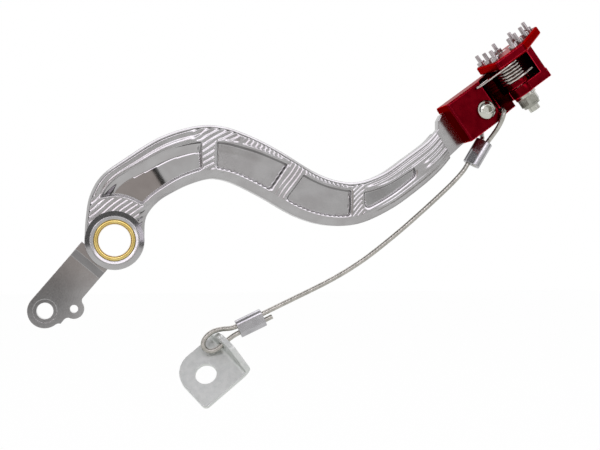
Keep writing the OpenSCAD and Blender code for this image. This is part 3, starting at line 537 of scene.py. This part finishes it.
def turned(half):
    """A ring spun about the pivot from a half outline, which its back mirrors"""
    outline = half + [(r, -h) for r, h in reversed(half)]
    count = len(outline)
    mesh = bpy.data.meshes.new("turned")
    mesh.from_pydata([(r * MM, -h * MM, 0) for r, h in outline],
                     [(k, (k + 1) % count) for k in range(count)], [])
    blank = bpy.data.objects.new("turned", mesh)
    bpy.context.collection.objects.link(blank)
    bpy.ops.object.select_all(action="DESELECT")
    blank.select_set(True)
    bpy.context.view_layer.objects.active = blank
    bpy.ops.object.mode_set(mode="EDIT")
    bpy.ops.mesh.select_all(action="SELECT")
    bpy.ops.mesh.spin(steps=TURN_STEPS, angle=2 * math.pi, center=(0, 0, 0), axis=(0, 1, 0))
    bpy.ops.mesh.select_all(action="SELECT")
    bpy.ops.mesh.remove_doubles(threshold=0.001 * MM)
    bpy.ops.mesh.normals_make_consistent(inside=False)
    bpy.ops.object.mode_set(mode="OBJECT")
    bpy.data.objects.remove(blank)
    finish_as(mesh, SATIN)
    return mesh


def hub_and_bush():
    """The turned hub, and the bush pressed into it"""
    hub = piece("hub", turned(HUB_HALF), ALUMINIUM, "machined_aluminium", "pedal_arm")
    bush = piece("turned_bush", turned(BUSH_HALF), BRONZE, "bush_bronze", "pivot_bush")
    for ob in (hub, bush):
        ob.modifiers.new("flats", "WEIGHTED_NORMAL").keep_sharp = True
        ob.data.set_sharp_from_angle(angle=math.radians(TURNED_SHARP))


WELD = 0.002 * MM               # points of the CAD meshes closer than this are one


def cut_off(node, at, way, tuck):
    """The part of a CAD solid that lies beyond a plane, with its cut end pushed back by tuck and
    closed"""
    bm = bmesh.new()
    bm.from_mesh(NODES[node].data)
    bm.transform(NODES[node].matrix_world)
    bmesh.ops.remove_doubles(bm, verts=bm.verts, dist=WELD)
    cut = bmesh.ops.bisect_plane(bm, geom=bm.verts[:] + bm.edges[:] + bm.faces[:], dist=1e-7,
                                 plane_co=at * MM, plane_no=way, clear_inner=True)
    rim = [e for e in cut["geom_cut"] if isinstance(e, bmesh.types.BMEdge)]
    grown = bmesh.ops.extrude_edge_only(bm, edges=rim)["geom"]
    moved = [v for v in grown if isinstance(v, bmesh.types.BMVert)]
    bmesh.ops.translate(bm, verts=moved, vec=-way * tuck * MM)
    ends = [e for e in grown if isinstance(e, bmesh.types.BMEdge) and e.is_boundary]
    bmesh.ops.holes_fill(bm, edges=ends)
    bmesh.ops.recalc_face_normals(bm, faces=bm.faces)
    return bm


def lean(bm, at, way, run, degrees):
    """Leans a solid's front face back over the run mm along way from a point. What lies less
    than 1 mm before the arm's middle plane stays."""
    bmesh.ops.bisect_plane(bm, geom=bm.verts[:] + bm.edges[:] + bm.faces[:], dist=1e-7,
                           plane_co=(at + way * run) * MM, plane_no=way)
    for v in bm.verts:
        short = run * MM - (v.co - at * MM).dot(way)
        if short > 0 and v.co.y < -1 * MM:
            v.co.y += short * math.tan(math.radians(degrees))


SHARP = 40                      # degrees between faces that meet in an edge to be broken


def break_edges(ob, width):
    """Breaks a piece's sharp edges with a small round"""
    ob.modifiers.new("weld", "WELD").merge_threshold = WELD
    edges = ob.modifiers.new("edges", "BEVEL")
    edges.width = width * MM
    edges.segments = 3
    edges.limit_method = "ANGLE"
    edges.angle_limit = math.radians(SHARP)


# The tab and the tongue are the solid's own, cut off beyond the turned hub and the milled arm and
# tucked into them. The tongue's bare front leans back, so that it does not mirror the carrier.
TAB_TURN, TAB_FROM, TAB_TUCK = 49.7, 14.9, 4.0
TONGUE_FROM, TONGUE_TUCK = 0.05, 3.0
TONGUE_RUN, TONGUE_LEAN = 14, 11
END_EDGE = 0.7


def arm_end(name, at, way, tuck, rough, leaning=None):
    """One end of the solid arm as a piece of its own, with broken edges"""
    bm = cut_off("pedal_arm", at, way, tuck)
    if leaning:
        lean(bm, at, way, *leaning)
    mesh = bpy.data.meshes.new(name)
    bm.to_mesh(mesh)
    bm.free()
    finish_as(mesh, rough)
    ob = piece(name, mesh, ALUMINIUM, "machined_aluminium", "pedal_arm", smooth=False)
    break_edges(ob, END_EDGE)


def lever():
    """The arm with its hub and bush, its tab and its tongue"""
    arm = piece("milled_arm", arm_mesh(), ALUMINIUM, "machined_aluminium", "pedal_arm")
    cut_round_pivot(arm, ARM_HOLE_R)
    hub_and_bush()
    turn = math.radians(TAB_TURN)
    tab_way = Vector((-math.cos(turn), 0, -math.sin(turn)))
    arm_end("cylinder_tab", tab_way * TAB_FROM, tab_way, TAB_TUCK, TAB_POLISH)
    top, low = [Vector((edge[-1][0] * REACH, 0, edge[-1][1] * REACH))
                for edge in (UPPER_SHARES, LOWER_SHARES)]
    along = (low - top).normalized()
    tip_way = Vector((-along.z, 0, along.x))
    arm_end("tongue", low + tip_way * TONGUE_FROM, tip_way, TONGUE_TUCK, TONGUE_SATIN,
            (TONGUE_RUN, TONGUE_LEAN))


lever()

# Modifiers break the edges of these solids and leave their meshes as they are
EDGES = {"tip_carrier": 0.35, "toe_pad": 0.35, "spring_collar": 0.25, "pivot_nut": 0.25,
         "rope_bracket": 0.3, "upper_ferrule": 0.3, "lower_ferrule": 0.3}
for node, width in EDGES.items():
    break_edges(NODES[node], width)

# Modifiers round the coil's wire
coil = NODES["fold_spring"]
coil.data.polygons.foreach_set("use_smooth", [True] * len(coil.data.polygons))
coil.modifiers.new("weld", "WELD").merge_threshold = WELD
rounder = coil.modifiers.new("round", "SUBSURF")
rounder.levels = rounder.render_levels = 2


# Stage

WHITE_SHARE = 0.97              # how much of the floor is shown plain white; the rest is paper
FLOOR_SIZE, FLOOR_PLACE = 3, (0, 1.2, -0.16)
# The room's brightness: its wall, and the dark arch between the wall and the ceiling, with the
# arch's soft edges in a direction's y and z
WALL, ARCH = 0.92, 0.12
ARCH_NEAR, ARCH_FAR, ARCH_LOW = (-0.68, -0.60), (-0.36, -0.22), (-0.50, -0.25)
# Things on the wall are placed by how far they are to the right and up, as shares of the
# distance: the pole with its half width, and the edges of the dimmer, warmer wall to its left
POLE_AT, POLE_HALF, POLE = 0.078, (0.010, 0.016), 0.06
WARM_RIGHT, WARM_LOW, WARM = (-0.01, 0.01), (-0.05, -0.03), (0.66, 0.60, 0.57, 1)
# Round dark things on the wall: the middle, the radius inside and outside the soft rim, and how
# bright. The tab mirrors the stool, and the slot mirrors the box.
STOOL = ((-0.066, -0.052, 0), (0.022, 0.040), 0.30)
BOX = ((0.245, 0.06, 0), (0.035, 0.055), 0.6)
WALL_SEEN = 0.85                # how far a direction turns to the viewer before it meets the wall


def straight_or_mirrored(t):
    """1 for what the camera sees straight, and 1 for what it sees mirrored or through glass"""
    ray = add(t, "ShaderNodeLightPath").outputs
    mirrored = add(t, "ShaderNodeMath", None,
                   {0: ray["Is Glossy Ray"], 1: ray["Is Transmission Ray"]}, operation="ADD")
    return ray["Is Camera Ray"], mirrored.outputs[0]


def floor():
    """A pale floor, shown mostly white, with a trace of the shadow on it"""
    mat, t = new_tree("floor_pale")
    paper = add(t, "ShaderNodeBsdfDiffuse", {"Color": linear("#f2f2f2")})
    glow = add(t, "ShaderNodeEmission", {"Color": (1, 1, 1, 1), "Strength": 1})
    straight, mirrored = straight_or_mirrored(t)
    seen = add(t, "ShaderNodeMath", None, {0: straight, 1: mirrored}, operation="ADD",
               use_clamp=True)
    white = add(t, "ShaderNodeMath", {1: WHITE_SHARE}, {0: seen.outputs[0]}, operation="MULTIPLY")
    mix = add(t, "ShaderNodeMixShader", None,
              {0: white.outputs[0], 1: paper.outputs[0], 2: glow.outputs[0]})
    add(t, "ShaderNodeOutputMaterial", None, {"Surface": mix.outputs[0]})
    bpy.ops.mesh.primitive_plane_add(size=FLOOR_SIZE, location=FLOOR_PLACE)
    ob = bpy.context.object
    ob.name = "floor"
    ob.data.materials.append(mat)


def wall_and_arch(t, y, z):
    """How bright the room is towards y and z: the arch stands open below"""
    near = add(t, "ShaderNodeMapRange", {"From Min": ARCH_NEAR[0], "From Max": ARCH_NEAR[1]},
               {"Value": y})
    far = add(t, "ShaderNodeMapRange",
              {"From Min": ARCH_FAR[0], "From Max": ARCH_FAR[1], "To Min": 1, "To Max": 0},
              {"Value": y})
    low = add(t, "ShaderNodeMapRange", {"From Min": ARCH_LOW[0], "From Max": ARCH_LOW[1]},
              {"Value": z})
    beam = add(t, "ShaderNodeMath", None, {0: near.outputs[0], 1: far.outputs[0]},
               operation="MULTIPLY")
    beam = add(t, "ShaderNodeMath", None, {0: beam.outputs[0], 1: low.outputs[0]},
               operation="MULTIPLY")
    return add(t, "ShaderNodeMapRange", {"To Min": WALL, "To Max": ARCH},
               {"Value": beam.outputs[0]}).outputs[0]


def pole_and_warm_wall(t, right, up):
    """The pole's brightness, and the tint of the wall"""
    slant = add(t, "ShaderNodeMath", {1: POLE_LEAN}, {0: up, 2: right}, operation="MULTIPLY_ADD")
    off = add(t, "ShaderNodeMath", {1: POLE_AT}, {0: slant.outputs[0]}, operation="SUBTRACT")
    away = add(t, "ShaderNodeMath", None, {0: off.outputs[0]}, operation="ABSOLUTE")
    pole = add(t, "ShaderNodeMapRange",
               {"From Min": POLE_HALF[0], "From Max": POLE_HALF[1], "To Min": POLE, "To Max": 1.0},
               {"Value": away.outputs[0]})
    side = add(t, "ShaderNodeMapRange", {"From Min": WARM_RIGHT[0], "From Max": WARM_RIGHT[1]},
               {"Value": off.outputs[0]})
    under = add(t, "ShaderNodeMapRange",
                {"From Min": WARM_LOW[0], "From Max": WARM_LOW[1], "To Min": 1, "To Max": 0},
                {"Value": up})
    plain = add(t, "ShaderNodeMath", None, {0: side.outputs[0], 1: under.outputs[0]},
                operation="MAXIMUM")
    tint = add(t, "ShaderNodeMix", {6: WARM, 7: (1, 1, 1, 1)}, {0: plain.outputs[0]},
               data_type="RGBA")
    return pole.outputs[0], tint.outputs[2]


def dark_spot(t, at, middle, rim, bright):
    """A round dark thing on the wall: bright inside its rim, and 1 outside it"""
    away = add(t, "ShaderNodeVectorMath", {1: middle}, {0: at}, operation="DISTANCE")
    return add(t, "ShaderNodeMapRange",
               {"From Min": rim[0], "From Max": rim[1], "To Min": bright, "To Max": 1.0},
               {"Value": away.outputs["Value"]}).outputs[0]


def studio():
    """The room that the metal mirrors: a pale wall behind the camera with a dark arch round it, a
    pole, a stool and a box before it, and white beyond the object"""
    world = bpy.data.worlds.new("studio")
    bpy.context.scene.world = world
    world.use_nodes = True
    t = world.node_tree
    t.nodes.clear()
    way = add(t, "ShaderNodeSeparateXYZ", None,
              {0: add(t, "ShaderNodeTexCoord").outputs["Generated"]})
    x, y, z = way.outputs
    wall = wall_and_arch(t, y, z)
    back = add(t, "ShaderNodeMath", {1: -1.0}, {0: y}, operation="MULTIPLY").outputs[0]
    far = add(t, "ShaderNodeMath", {1: 0.05}, {0: back}, operation="MAXIMUM").outputs[0]
    right = add(t, "ShaderNodeMath", None, {0: x, 1: far}, operation="DIVIDE").outputs[0]
    up = add(t, "ShaderNodeMath", None, {0: z, 1: far}, operation="DIVIDE").outputs[0]
    at = add(t, "ShaderNodeCombineXYZ", None, {0: right, 1: up}).outputs[0]
    pole, tint = pole_and_warm_wall(t, right, up)
    level = wall
    for shade in (pole, dark_spot(t, at, *STOOL), dark_spot(t, at, *BOX)):
        level = add(t, "ShaderNodeMath", None, {0: level, 1: shade},
                    operation="MULTIPLY").outputs[0]
    seen = add(t, "ShaderNodeVectorMath", None, {0: tint, "Scale": level}, operation="SCALE")
    front = add(t, "ShaderNodeMath", {1: WALL_SEEN}, {0: back}, operation="GREATER_THAN")
    room = add(t, "ShaderNodeMix", None, {0: front.outputs[0], 6: wall, 7: seen.outputs[0]},
               data_type="RGBA")
    shown = add(t, "ShaderNodeBackground", None, {"Color": room.outputs[2]})
    white = add(t, "ShaderNodeBackground", {"Color": (1, 1, 1, 1)})
    # what lies beyond the object is white, straight or mirrored
    straight, mirrored = straight_or_mirrored(t)
    beyond = add(t, "ShaderNodeMath", {1: 0.0}, {0: y}, operation="GREATER_THAN")
    behind = add(t, "ShaderNodeMath", None, {0: mirrored, 1: beyond.outputs[0]},
                 operation="MULTIPLY")
    seen_white = add(t, "ShaderNodeMath", None, {0: straight, 1: behind.outputs[0]},
                     operation="ADD", use_clamp=True)
    mix = add(t, "ShaderNodeMixShader", None,
              {0: seen_white.outputs[0], 1: shown.outputs[0], 2: white.outputs[0]})
    add(t, "ShaderNodeOutputWorld", None, {"Surface": mix.outputs[0]})


# Soft lamps: place in m, width and height in m, and how bright they look
LAMPS = {
    "strip": ((0.05, -0.95, 0.47), (1.50, 0.32), 2.0),
    "top": ((0.05, 0.40, 0.80), (1.20, 0.40), 1.4),
    "left": ((-0.55, -0.85, 0.10), (0.14, 0.80), 2.2),
    "right": ((1.05, -0.50, 0.30), (0.14, 0.70), 1.6)}
LAMP_COLOR = (0.95, 0.89, 1.0)  # a faint lavender
LIT = Vector((0.06, 0, 0.03))   # the place that they all face


def lamps():
    """The soft rectangular lamps"""
    for name, (at, (width, height), bright) in LAMPS.items():
        light = bpy.data.lights.new(name, "AREA")
        light.shape = "RECTANGLE"
        light.size = width
        light.size_y = height
        light.energy = bright * math.pi * width * height
        light.color = LAMP_COLOR
        ob = bpy.data.objects.new(name, light)
        ob.location = at
        ob.rotation_euler = (LIT - Vector(at)).to_track_quat("-Z", "Y").to_euler()
        bpy.context.collection.objects.link(ob)


floor()
studio()
lamps()
